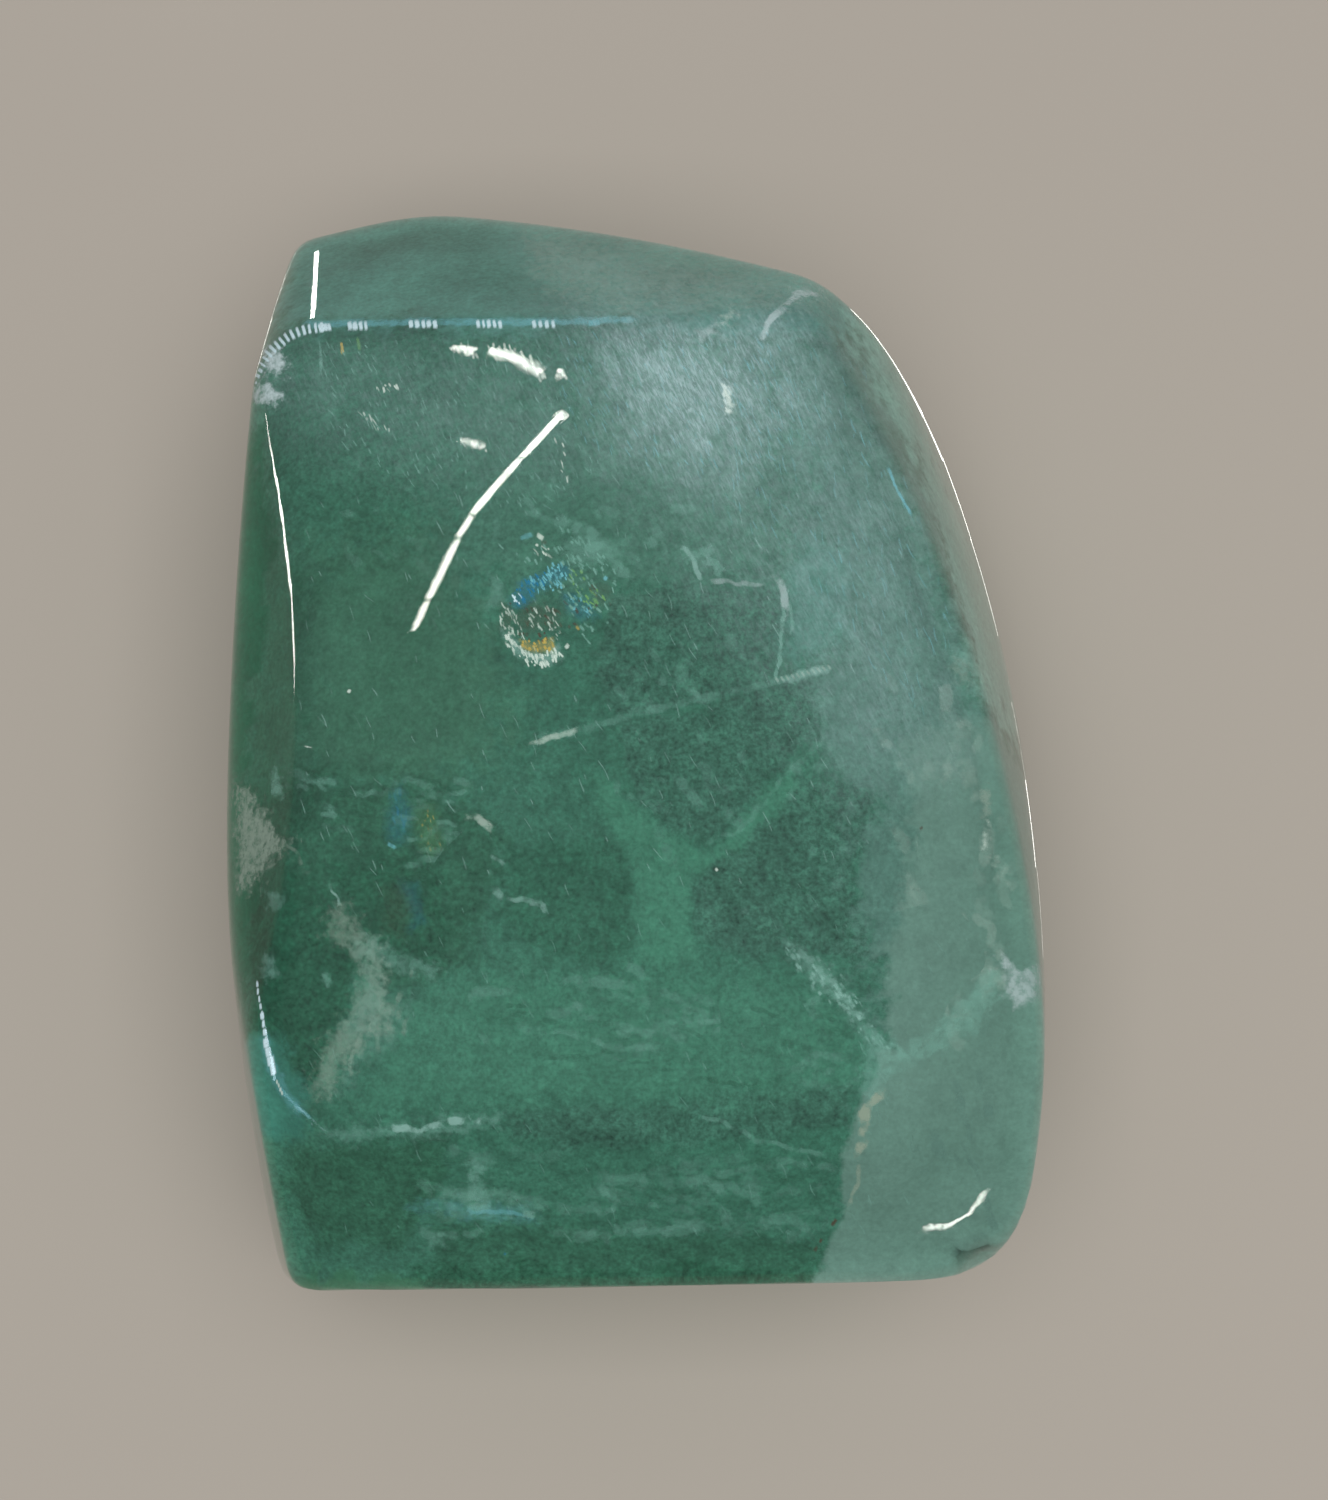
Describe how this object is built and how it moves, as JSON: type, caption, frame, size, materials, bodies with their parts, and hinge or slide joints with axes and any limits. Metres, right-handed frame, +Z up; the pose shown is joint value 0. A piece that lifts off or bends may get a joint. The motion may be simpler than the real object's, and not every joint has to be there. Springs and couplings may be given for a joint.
{
  "type": "fluorite freeform",
  "caption": "Polished sea-green fluorite freeform: a see-through stone with broad crowned facets and a flat sawn foot, lying on its flat back.",
  "frame": {"origin": "middle of the box, on the flat back that the stone rests on", "axes": "+Z up out of the resting back to the broad face, +Y from the sawn foot to the crest, +X to the curved right flank as seen from above"},
  "size_m": [0.0641, 0.088, 0.0395],
  "materials": {
    "polished_fluorite": "polished see-through sea-green fluorite with milky bands, healed veins and small rainbow fractures inside"
  },
  "bodies": {
    "root": {"fluorite_stone": "polished_fluorite"}
  },
  "joints": []
}
